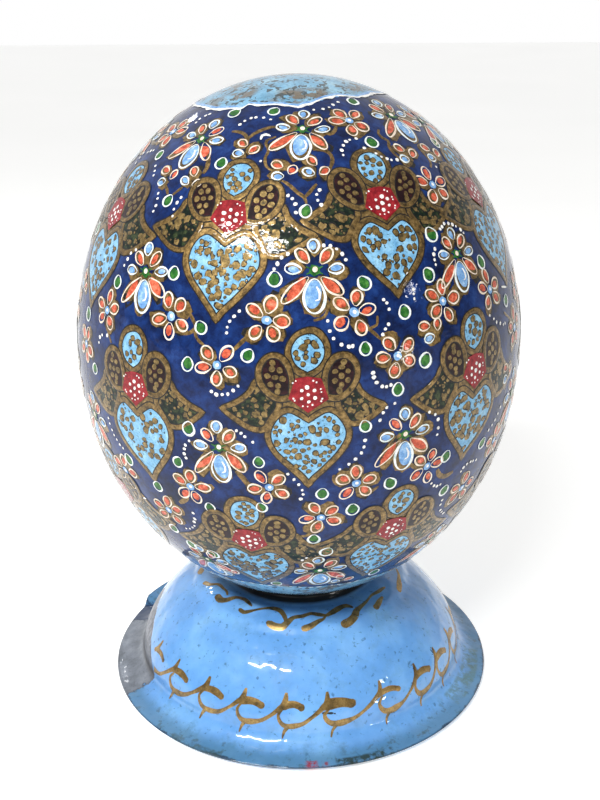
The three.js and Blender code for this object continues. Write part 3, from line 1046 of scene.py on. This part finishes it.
def paintMaterial(name):
    middle, dark, light, scale, fleckScale = paintLooks[name]
    gold = name.startswith("gold")
    material, nodes, links, shader, at = lacquered(name, goldFinish["metallic"] if gold else 0.0)
    if gold:
        shader.inputs["Roughness"].default_value = goldFinish["roughness"]
    cloud = noiseOf(nodes, links, at, scale, 5, 0.6)
    colour = rampOf(nodes, links, cloud, [(0.3, dark), (0.5, middle), (0.72, light)])
    fleck = noiseOf(nodes, links, at, fleckScale, 3, 0.7)
    if name == "turquoiseFields":
        # short blue-grey brush specks
        specks = noiseOf(nodes, links, at, brushSpecks["scale"], 2, 0.5, 0.8)
        specks = easeOf(nodes, links, specks, *brushSpecks["from"])
        colour = mixOf(nodes, links, specks, colour, brushSpecks["colour"])
    shade = rampOf(nodes, links, fleck, [(0.36, grey(0.5 if gold else 0.68)), (0.52, white)])
    links.new(mixOf(nodes, links, 0.85, colour, shade, "MULTIPLY"), shader.inputs["Base Color"])
    links.new(lacquerBump(nodes, links, at), shader.inputs["Coat Normal"])
    links.new(bumpOf(nodes, links, fleck, 0.00012 if gold else 0.00003, 0.8), shader.inputs["Normal"])
    return material


capLooks = {
    "cloud": [(0.3, linear(94, 148, 178)), (0.5, linear(118, 172, 204)), (0.7, linear(160, 202, 220))],
    "cloudScale": 160,
    "thickScale": 75,  # of the places where the smudges are
    "smudge": linear(114, 96, 70),
    "smudgeScale": 230,
    "stroke": linear(58, 64, 62),
    "strokeScale": 640,
    # painted shade: the wash is darkened towards this colour close to the stand
    "dim": linear(64, 78, 94),
    "shadeHeights": (0.043, 0.035),  # painted shade: the wash is darker below these heights, close to the stand, in metres
    "grainScale": 1500,
}


def capMaterial():
    # pale blue wash with brown smudges and short dark strokes, and painted shade close to the stand
    looks = capLooks
    material, nodes, links, shader, at = lacquered("capWash")
    calc, ease, cloudy, mix, ramp = toolsFor(nodes, links)
    colour = ramp(cloudy(at, looks["cloudScale"], 5, 0.65), looks["cloud"])
    thick = ease(cloudy(at, looks["thickScale"], 3, 0.5), 0.42, 0.6)
    smudge = ease(cloudy(at, looks["smudgeScale"], 6, 0.78, 0.4), 0.44, 0.52)
    colour = mix(calc("MULTIPLY", calc("MULTIPLY", smudge, thick), 0.9), colour, looks["smudge"])
    strokes = ease(cloudy(at, looks["strokeScale"], 2, 0.5, 0.5), 0.56, 0.6)
    colour = mix(calc("MULTIPLY", strokes, 0.9), colour, looks["stroke"])
    split = nodes.new("ShaderNodeSeparateXYZ")
    links.new(at, split.inputs[0])
    # painted shade: darker low down, close to the stand
    low = calc("MULTIPLY", ease(split.outputs["Z"], *looks["shadeHeights"]), 0.5)
    colour = mix(low, colour, looks["dim"])
    shade = ramp(cloudy(at, looks["grainScale"], 3, 0.7), [(0.36, grey(0.7)), (0.52, white)])
    links.new(mix(0.8, colour, shade, "MULTIPLY"), shader.inputs["Base Color"])
    links.new(lacquerBump(nodes, links, at), shader.inputs["Coat Normal"])
    return material


groundLooks = {
    "cloud": [(0.3, linear(8, 20, 48)), (0.45, linear(13, 35, 82)), (0.58, linear(20, 49, 106)),
              (0.76, linear(40, 72, 132))],
    "cloudScale": 130,
    "brushed": [(0.34, (0.3, 0.36, 0.5, 1)), (0.56, white)],
    "brushScale": 520,
}


def groundMaterial():
    looks = groundLooks
    material, nodes, links, shader, at = lacquered("cobaltGround")
    cloudy, mix, ramp = toolsFor(nodes, links)[2:]
    colour = ramp(cloudy(at, looks["cloudScale"], 6, 0.7), looks["cloud"])
    shade = ramp(cloudy(at, looks["brushScale"], 4, 0.75, 0.8), looks["brushed"])
    links.new(mix(0.85, colour, shade, "MULTIPLY"), shader.inputs["Base Color"])
    links.new(lacquerBump(nodes, links, at), shader.inputs["Coat Normal"])
    return material


# ---- meshes from the drawings
def objectFrom(name, bm, material, smooth=True):
    mesh = bpy.data.meshes.new(name)
    bm.to_mesh(mesh)
    bm.free()
    mesh.materials.append(material)
    mesh.polygons.foreach_set("use_smooth", [smooth] * len(mesh.polygons))
    piece = bpy.data.objects.new(name, mesh)
    bpy.context.scene.collection.objects.link(piece)
    return piece


handWobble = {"size": 0.28, "round": 8.0, "arc": 7.0}  # how far the brush strays, and how quickly
eggFlattening = 0.7  # makes the egg round enough to tell outwards from inwards
standFocus = 0.06  # metres; nearer the axis than this, outwards on the stand leans up


def facedOut(bm, table):
    # turns every face of a thin layer of paint away from the surface that it lies on
    for f in bm.faces:
        middle = f.calc_center_median()
        if table is eggTable:
            outwards = Vector((middle.x, middle.y, (middle.z - eggShape["middle"] * mm) * eggFlattening))
        else:
            outwards = Vector((middle.x, middle.y, standFocus - math.hypot(middle.x, middle.y)))
        if f.normal.dot(outwards) < 0:
            f.normal_flip()


def wrapped(name, canvas, material, wobble=True):
    # bends a flat drawing round its surface, with the small unevenness of handwork
    bm, table = canvas["mesh"], canvas["table"]
    for part in canvas["dried"]:
        bm.from_mesh(part)
        bpy.data.meshes.remove(part)
    for v in bm.verts:
        azimuth, arc, lift = v.co
        if wobble:
            turn, reach = math.radians(azimuth), handWobble["round"]
            at = Vector((math.sin(turn) * reach, math.cos(turn) * reach, arc / handWobble["arc"]))
            astray = noise.noise_vector(at)
            arc = max(arc + astray.y * handWobble["size"], 0.0)
            azimuth += math.degrees(astray.x * handWobble["size"] / max(radiusAt(table, arc), 20))
        v.co = surfacePoint(table, azimuth, arc, lift)
    if not wobble:
        bmesh.ops.remove_doubles(bm, verts=bm.verts, dist=0.00002)
    bm.normal_update()
    facedOut(bm, table)
    return objectFrom(name, bm, material)


def shellBody():
    bm = bmesh.new()
    bmesh.ops.create_uvsphere(bm, u_segments=eggShape["sides"], v_segments=eggShape["rings"], radius=1)
    for v in bm.verts:
        turn = math.acos(max(-1, min(1, v.co.z)))
        across = math.hypot(v.co.x, v.co.y)
        out = eggOutlineAt(turn)
        if across > 1e-6:
            v.co = Vector((v.co.x / across * out.x, v.co.y / across * out.x, out.y)) * mm
        else:
            v.co = Vector((0, 0, out.y)) * mm
    return objectFrom("eggShell", bm, groundMaterial())


def makeEgg():
    shell = shellBody()
    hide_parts("egg")
    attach(shell, "root")
    for name in paintNames:
        washed = name == "capWash"
        material = capMaterial() if washed else paintMaterial(name)
        piece = wrapped(name, paint[name], material, wobble=not washed)
        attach(piece, "root")
        stage(f"{name} {len(piece.data.polygons)}")


makeEgg()

# ---- the stand
damage = {
    "lipStart": -113.0,  # the foot's edge is bent up from here, steeply at first
    "lipEnd": -165.0,
    "lipRise": 3.0,
    "lipSteep": 2.6,  # degrees that the steep end takes
    "lipFade": 0.8,
    "lipCurl": 1.3,
    "lipInnerRadius": 50.5,
    "bareMiddle": -93.0,  # azimuth of the middle of the bare metal
    "bareTop": 18.3,  # its highest point, in millimetres
    "bareFall": 0.0125,  # how fast its upper edge falls away to the sides
    "bareRight": -63.0,
    "bareLeft": -104.0,  # below the wall the metal ends here, against a dark wedge of painted shade
    "bareWallLeft": (-122.0, -119.0),  # and on the wall between these
    "flareTop": (7.5, 6.5),  # heights between which the wall becomes the flare
    # where the dark wedge of painted shade ends
    "wedgeShadeLeft": -114.0,
    "ragged": 9,  # how far its edges stray, in degrees
    "raggedRise": 0.65,  # and up or down, in millimetres for each degree
    "raggedScale": 260,
}


def standRing():
    s = standShape
    outer = standOutside()
    crestRadius = s["collarRadius"] - s["collarRounding"]
    crest = eggUndersideAt(crestRadius) - s["seatGap"]
    collarRadius = s["collarRadius"]
    collarTop = crest - s["collarRounding"]
    collar = bezier((crestRadius, crest), (collarRadius, crest), (collarRadius, collarTop), steps=5)
    outer = collar + outer
    upper, outermost, lower, under, rest = s["rim"]
    edge = bezier(s["footTop"], upper, outermost, steps=4)[1:] + bezier(outermost, lower, under, steps=4)[1:]
    edge.append(Vector(rest))
    inner = []
    for i in range(1, len(outer) - 1):
        along = (outer[i + 1] - outer[i - 1]).normalized()
        p = outer[i] + Vector((along.y, -along.x)) * s["sheet"]
        if p.x < s["footRestInner"] - s["sheet"] and p.y > s["sheet"] / 2:
            inner.append(p)
    return outer + edge + [Vector((s["footRestInner"], 0))] + inner[::-1]


def bendLip(co):
    d = damage
    turn = math.degrees(math.atan2(co.x, -co.y))
    radius = math.hypot(co.x, co.y) / mm
    outwards = (radius - d["lipInnerRadius"]) / (standShape["footRadius"] - d["lipInnerRadius"])
    if outwards > 0 and d["lipEnd"] < turn < d["lipStart"]:
        along = (d["lipStart"] - turn) / (d["lipStart"] - d["lipEnd"])
        sharp = easeBetween(d["lipStart"] - turn, 0, d["lipSteep"])
        fade = math.cos(along * math.pi / 2) ** d["lipFade"]
        co.z += d["lipRise"] * mm * sharp * fade * outwards ** d["lipCurl"]


def standBody(material):
    bm = bmesh.new()
    verts = [bm.verts.new((p.x * mm, 0, p.y * mm)) for p in standRing()]
    edges = [bm.edges.new((a, b)) for a, b in zip(verts, verts[1:] + verts[:1])]
    bmesh.ops.spin(bm, geom=verts + edges, cent=(0, 0, 0), axis=(0, 0, 1), angle=2 * math.pi,
                   steps=standShape["sides"], use_merge=True)
    bmesh.ops.remove_doubles(bm, verts=bm.verts, dist=1e-6)
    for v in bm.verts:
        bendLip(v.co)
    bmesh.ops.recalc_face_normals(bm, faces=bm.faces)
    return objectFrom("standBody", bm, material)


def standPlaces(nodes, links, at):
    # azimuth in degrees, radius and height in millimetres
    calc = partial(mathOf, nodes, links)
    split = nodes.new("ShaderNodeSeparateXYZ")
    links.new(at, split.inputs[0])
    x, y, z = split.outputs
    azimuth = calc("MULTIPLY", calc("ARCTAN2", x, calc("MULTIPLY", y, -1)), 180 / math.pi)
    square = calc("ADD", calc("MULTIPLY", x, x), calc("MULTIPLY", y, y))
    return azimuth, calc("MULTIPLY", calc("SQRT", square), 1000), calc("MULTIPLY", z, 1000)


def bareMask(nodes, links, at, azimuth, height):
    # the chipped patch: 1 on bare metal, and beside it a dark blue wedge of painted shade by the bent-up lip
    calc, ease, cloudy = toolsFor(nodes, links)[:3]
    d = damage
    ragged = calc("MULTIPLY", calc("SUBTRACT", cloudy(at, d["raggedScale"], 5, 0.7), 0.5), d["ragged"])
    uneven = calc("ADD", azimuth, ragged)
    away = calc("SUBTRACT", uneven, d["bareMiddle"])
    fall = calc("MULTIPLY", calc("MULTIPLY", away, away), d["bareFall"])
    rim = calc("SUBTRACT", calc("SUBTRACT", d["bareTop"], fall), height)
    below = ease(calc("ADD", rim, calc("MULTIPLY", ragged, d["raggedRise"])), -0.25, 0.25)
    right = ease(uneven, d["bareRight"] + 0.4, d["bareRight"] - 0.4)
    onFlare = ease(height, *d["flareTop"])
    cut = ease(uneven, d["bareLeft"] - 0.7, d["bareLeft"] + 0.7)
    left = calc("MAXIMUM", cut, calc("SUBTRACT", 1.0, onFlare))
    bare = calc("MULTIPLY", calc("MULTIPLY", below, right),
                calc("MULTIPLY", left, ease(azimuth, *d["bareWallLeft"])))
    # the dark wedge of painted shade, on the flare beside the bare metal
    wedge = calc("MULTIPLY", onFlare, calc("SUBTRACT", 1.0, cut))
    wedge = calc("MULTIPLY", wedge, ease(uneven, d["wedgeShadeLeft"] - 0.6, d["wedgeShadeLeft"] + 0.6))
    return bare, wedge


metalLooks = {
    "cloud": [(0.32, linear(106, 112, 120)), (0.5, linear(130, 136, 146)), (0.7, linear(152, 158, 168))],
    "cloudScale": 130,
    "grainScale": 1500,
    # painted shade in the fold where the wall meets the flare
    "foldShade": linear(52, 50, 54),
    "foldShadeHeights": ((4.4, 6.2), (9.0, 7.0)),  # where the painted shade in the fold begins and ends
    "blotches": [(0.38, linear(58, 62, 72)), (0.5, linear(92, 96, 108)), (0.62, linear(132, 136, 148))],
    "blotchScale": 420,
    "wallFrom": (8.0, 10.0),
}


def bareMetal(nodes, links, at, height):
    # dull and stained, with painted shade in the fold above the foot, blotchy on the wall
    looks = metalLooks
    calc, ease, cloudy, mix, ramp = toolsFor(nodes, links)
    metal = ramp(cloudy(at, looks["cloudScale"], 4, 0.6), looks["cloud"])
    grains = ramp(cloudy(at, looks["grainScale"], 3, 0.6), [(0.34, grey(0.6)), (0.46, white)])
    metal = mix(0.5, metal, grains, "MULTIPLY")
    foldStart, foldEnd = looks["foldShadeHeights"]
    # painted shade in the fold
    foldShade = calc("MULTIPLY", ease(height, *foldStart), ease(height, *foldEnd))
    metal = mix(calc("MULTIPLY", foldShade, 0.75), metal, looks["foldShade"])
    blotches = ramp(cloudy(at, looks["blotchScale"], 5, 0.7), looks["blotches"])
    return mix(calc("MULTIPLY", ease(height, *looks["wallFrom"]), 0.85), metal, blotches)


stains = [
    # azimuths from and to, radii from and to, colour, strength
    (9, 27, 56.0, 59.5, (44, 56, 46), 0.9),
    (11, 17, 52.5, 56.0, (70, 96, 92), 0.4),
    (54, 86, 51.5, 57.0, (84, 118, 108), 0.6),
    (-40, -22, 56.5, 59.5, (60, 84, 84), 0.5),
    (0.5, 5.0, 55.8, 58.8, (150, 52, 66), 1.0),
    (5.2, 8.2, 56.4, 58.8, (140, 60, 72), 0.9),
]


enamelLooks = {
    "roughness": 0.3, "specular": 0.15, "coatIor": 1.4,
    "cloud": [(0.3, linear(92, 150, 212)), (0.5, linear(108, 166, 228)), (0.72, linear(130, 186, 238))],
    "cloudScale": 70,
    "specks": [(0.31, (0.22, 0.3, 0.3, 1)), (0.385, white)],
    "speckScale": 620,
    # dirt, darkening and painted shade: where each kind starts and is full is given as two radii or heights,
    # in millimetres
    "film": linear(94, 134, 150),
    "filmScale": 150,
    # darker and greener towards the foot's edge
    "footDarkening": linear(70, 114, 138),
    "footRadii": (51.5, 56.0),
    "grime": linear(66, 84, 70),
    "grimeRadii": (50.5, 55.0),
    "grimeScale": 330,
    "rimLine": linear(34, 48, 66),
    "rimRadii": (58.1, 58.7),
    "gap": linear(10, 12, 18),  # painted shade: near black round the collar, in the gap under the egg
    "collarShadeRadii": (24.2, 22.6),
    "collarShadeHeights": (30.4, 31.4),
    "stainScale": 300,
    # painted shade: the dark blue wedge beside the bare metal, by the bent-up lip
    "wedgeShade": linear(26, 52, 88),
    "chipEdge": linear(60, 60, 70),
    "chipDepth": 0.0004,
    "waveScale": 120,
    "waveDepth": 0.0007,
}


def enamelColour(nodes, links, at, radius, height):
    # speckled blue, with dirt gathered on the foot, darker towards the foot's edge and along its rim, and
    # painted shade round the collar under the egg
    looks = enamelLooks
    calc, ease, cloudy, mix, ramp = toolsFor(nodes, links)
    colour = ramp(cloudy(at, looks["cloudScale"], 5, 0.6), looks["cloud"])
    specks = ramp(cloudy(at, looks["speckScale"], 3, 0.6), looks["specks"])
    colour = mix(0.65, colour, specks, "MULTIPLY")
    film = ease(cloudy(at, looks["filmScale"], 6, 0.75), 0.45, 0.72)
    colour = mix(calc("MULTIPLY", film, 0.3), colour, looks["film"])
    # darker and greener towards the foot's edge
    foot = ease(calc("ADD", radius, calc("MULTIPLY", film, 1.5)), *looks["footRadii"])
    colour = mix(calc("MULTIPLY", foot, 0.65), colour, looks["footDarkening"])
    spread = ease(cloudy(at, looks["grimeScale"], 4, 0.7), 0.56, 0.66)
    grime = calc("MULTIPLY", ease(radius, *looks["grimeRadii"]), spread)
    colour = mix(calc("MULTIPLY", grime, 0.5), colour, looks["grime"])
    rimLine = ease(calc("ADD", radius, calc("MULTIPLY", film, 0.9)), *looks["rimRadii"])
    colour = mix(calc("MULTIPLY", rimLine, 0.85), colour, looks["rimLine"])
    # painted shade in the gap round the collar, under the egg
    gap = calc("MULTIPLY", ease(radius, *looks["collarShadeRadii"]), ease(height, *looks["collarShadeHeights"]))
    return mix(gap, colour, looks["gap"])


def stained(nodes, links, at, colour, azimuth, radius):
    calc, ease, cloudy, mix = toolsFor(nodes, links)[:4]
    patches = ease(cloudy(at, enamelLooks["stainScale"], 5, 0.7), 0.4, 0.56)
    for start, end, inner, outer, stain, strength in stains:
        around = calc("MULTIPLY", ease(azimuth, start, start + 1.5), ease(azimuth, end, end - 1.5))
        across = calc("MULTIPLY", ease(radius, inner, inner + 0.8), ease(radius, outer, outer - 0.8))
        share = calc("MULTIPLY", calc("MULTIPLY", calc("MULTIPLY", around, across), patches), strength)
        colour = mix(share, colour, linear(*stain))
    return colour


def enamelMaterial():
    looks = enamelLooks
    material, nodes, links, shader, at = newMaterial(
        "skyEnamel", looks["roughness"], 1.0, specular=looks["specular"], coatIor=looks["coatIor"]
    )
    calc, _, cloudy, mix = toolsFor(nodes, links)[:4]
    azimuth, radius, height = standPlaces(nodes, links, at)
    colour = enamelColour(nodes, links, at, radius, height)
    colour = stained(nodes, links, at, colour, azimuth, radius)
    bare, wedge = bareMask(nodes, links, at, azimuth, height)
    chipEdge = calc("MULTIPLY", calc("MULTIPLY", bare, calc("SUBTRACT", 1.0, bare)), 2.6, clamp=True)
    # painted shade: the dark wedge beside the bare metal
    colour = mix(wedge, colour, looks["wedgeShade"])
    colour = mix(bare, colour, bareMetal(nodes, links, at, height))
    colour = mix(chipEdge, colour, looks["chipEdge"])
    links.new(colour, shader.inputs["Base Color"])
    links.new(calc("MULTIPLY", bare, 0.5), shader.inputs["Metallic"])
    links.new(calc("MULTIPLY_ADD", bare, 0.04, looks["roughness"]), shader.inputs["Roughness"])
    links.new(calc("MULTIPLY_ADD", bare, -0.8, 1.0), shader.inputs["Coat Weight"])
    step = bumpOf(nodes, links, calc("SUBTRACT", 1.0, bare), looks["chipDepth"])
    waves = cloudy(at, looks["waveScale"], 2, 0.5)
    surface = bumpOf(nodes, links, waves, looks["waveDepth"], 1.0, step)
    links.new(surface, shader.inputs["Normal"])
    links.new(surface, shader.inputs["Coat Normal"])
    return material


standPaints = {
    # name: (middle colour, darker, lighter, metallic, roughness)
    "standGold": (linear(154, 124, 72), linear(84, 76, 58), linear(196, 162, 98), 0.75, 0.36),
    "standInk": (linear(22, 28, 36), linear(10, 12, 16), linear(44, 54, 62), 0.0, 0.5),
}


def standPaintMaterial(name):
    middle, dark, light, metallic, roughness = standPaints[name]
    material, nodes, links, shader, at = newMaterial(name, roughness, 0.35, 0.12, metallic=metallic)
    cloud = noiseOf(nodes, links, at, 420, 5, 0.65)
    colour = rampOf(nodes, links, cloud, [(0.3, dark), (0.5, middle), (0.72, light)])
    fleck = noiseOf(nodes, links, at, 2600, 3, 0.7)
    shade = rampOf(nodes, links, fleck, [(0.36, grey(0.6)), (0.52, white)])
    links.new(mixOf(nodes, links, 0.8, colour, shade, "MULTIPLY"), shader.inputs["Base Color"])
    links.new(bumpOf(nodes, links, fleck, 0.00006, 0.8), shader.inputs["Normal"])
    return material


def makeStand():
    stand = standBody(enamelMaterial())
    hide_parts("stand")
    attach(stand, "root")
    canvases = {name: newCanvas(standTable) for name in standPaints}
    paintScrolls(canvases["standGold"])
    paintMarks(canvases["standInk"])
    for name, canvas in canvases.items():
        piece = wrapped(name, canvas, standPaintMaterial(name))
        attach(piece, "root")
    stage("stand made")


makeStand()


# ---- floor, light and camera
floorLooks = {
    "pale": [(0.3, (0.9, 0.9, 0.89, 1)), (0.7, (0.93, 0.93, 0.92, 1))],
    "glow": 0.55,
    "cells": 8,
    "half": 6,  # metres from the middle to an edge
}


def makeFloor():
    material, nodes, links, shader, at = newMaterial("paleFloor", 0.6, 0.0)
    pale = rampOf(nodes, links, noiseOf(nodes, links, at, 3, 3, 0.5), floorLooks["pale"])
    links.new(pale, shader.inputs["Base Color"])
    links.new(pale, shader.inputs["Emission Color"])
    shader.inputs["Emission Strength"].default_value = floorLooks["glow"]
    cells = floorLooks["cells"]
    bm = bmesh.new()
    bmesh.ops.create_grid(bm, x_segments=cells, y_segments=cells, size=floorLooks["half"])
    objectFrom("floor", bm, material, smooth=False)


makeFloor()

worldLight = {
    "towards": (-0.05, 1.0),  # the way that the bright side lies, as x and y
    "low": 0.085, "side": 0.09, "far": 0.82,  # brightness in front, at the sides and behind
    "stops": (0.2, 0.56, 0.72),  # where these three stand on the way from front to back
    "top": 0.46,
    "topFrom": (0.55, 0.95),
}


def makeWorld():
    # bright behind the egg, dim in front and at the sides; the camera sees plain white
    world = bpy.data.worlds.new("studio")
    world.use_nodes = True
    bpy.context.scene.world = world
    nodes, links = world.node_tree.nodes, world.node_tree.links
    background = nodes["Background"]
    coords = nodes.new("ShaderNodeTexCoord")
    split = nodes.new("ShaderNodeSeparateXYZ")
    links.new(coords.outputs["Generated"], split.inputs[0])
    x, y = worldLight["towards"]
    depth = mathOf(nodes, links, "ADD", mathOf(nodes, links, "MULTIPLY", split.outputs["X"], x / 2),
                   mathOf(nodes, links, "MULTIPLY_ADD", split.outputs["Y"], y / 2, 0.5))
    levels = [grey(worldLight[name]) for name in ("low", "side", "far")]
    soft = rampOf(nodes, links, depth, list(zip(worldLight["stops"], levels)))
    upwards = easeOf(nodes, links, split.outputs["Z"], *worldLight["topFrom"])
    soft = mixOf(nodes, links, upwards, soft, grey(worldLight["top"]))
    path = nodes.new("ShaderNodeLightPath")
    links.new(mixOf(nodes, links, path.outputs["Is Camera Ray"], soft, white), background.inputs["Color"])


makeWorld()

lamps = {
    # name: azimuth and elevation in degrees, distance, width and height in metres, watts
    "windowLight": (-29.5, 43.2, 0.62, 0.34, 0.045, 4.3),
    "sideLamp": (59, 19, 1.0, 0.06, 0.05, 0.45),
    "lowLamp": (50, -1, 0.9, 0.05, 0.05, 0.4),
    "farLamp": (-151, 29.6, 1.0, 0.045, 0.03, 0.25),
}


def makeLamps():
    target = Vector((0, 0, eggShape["middle"] * mm))
    for name, (azimuth, elevation, distance, width, height, watts) in lamps.items():
        data = bpy.data.lights.new(name, "AREA")
        data.shape = "RECTANGLE"
        data.size, data.size_y, data.energy = width, height, watts
        lamp = bpy.data.objects.new(name, data)
        a, e = math.radians(azimuth), math.radians(elevation)
        way = Vector((math.cos(e) * math.sin(a), -math.cos(e) * math.cos(a), math.sin(e)))
        lamp.location = target + way * distance
        lamp.rotation_euler = way.to_track_quat("Z", "Y").to_euler()
        bpy.context.scene.collection.objects.link(lamp)


makeLamps()

cameraView = {"place": (0.0002, -0.2844, 0.1944), "below": 20.83, "roll": -0.34, "lens": 46.39, "sensor": 36}


def makeCamera():
    data = bpy.data.cameras.new("camera")
    data.lens = cameraView["lens"]
    data.sensor_width = cameraView["sensor"]
    data.clip_start = 0.01
    camera = bpy.data.objects.new("camera", data)
    camera.location = cameraView["place"]
    camera.rotation_euler = (math.radians(90 - cameraView["below"]), 0, 0)
    camera.rotation_euler.rotate_axis("Z", math.radians(cameraView["roll"]))
    bpy.context.scene.collection.objects.link(camera)
    bpy.context.scene.camera = camera
    bpy.context.scene.view_settings.view_transform = "Standard"


makeCamera()
stage("stage set")
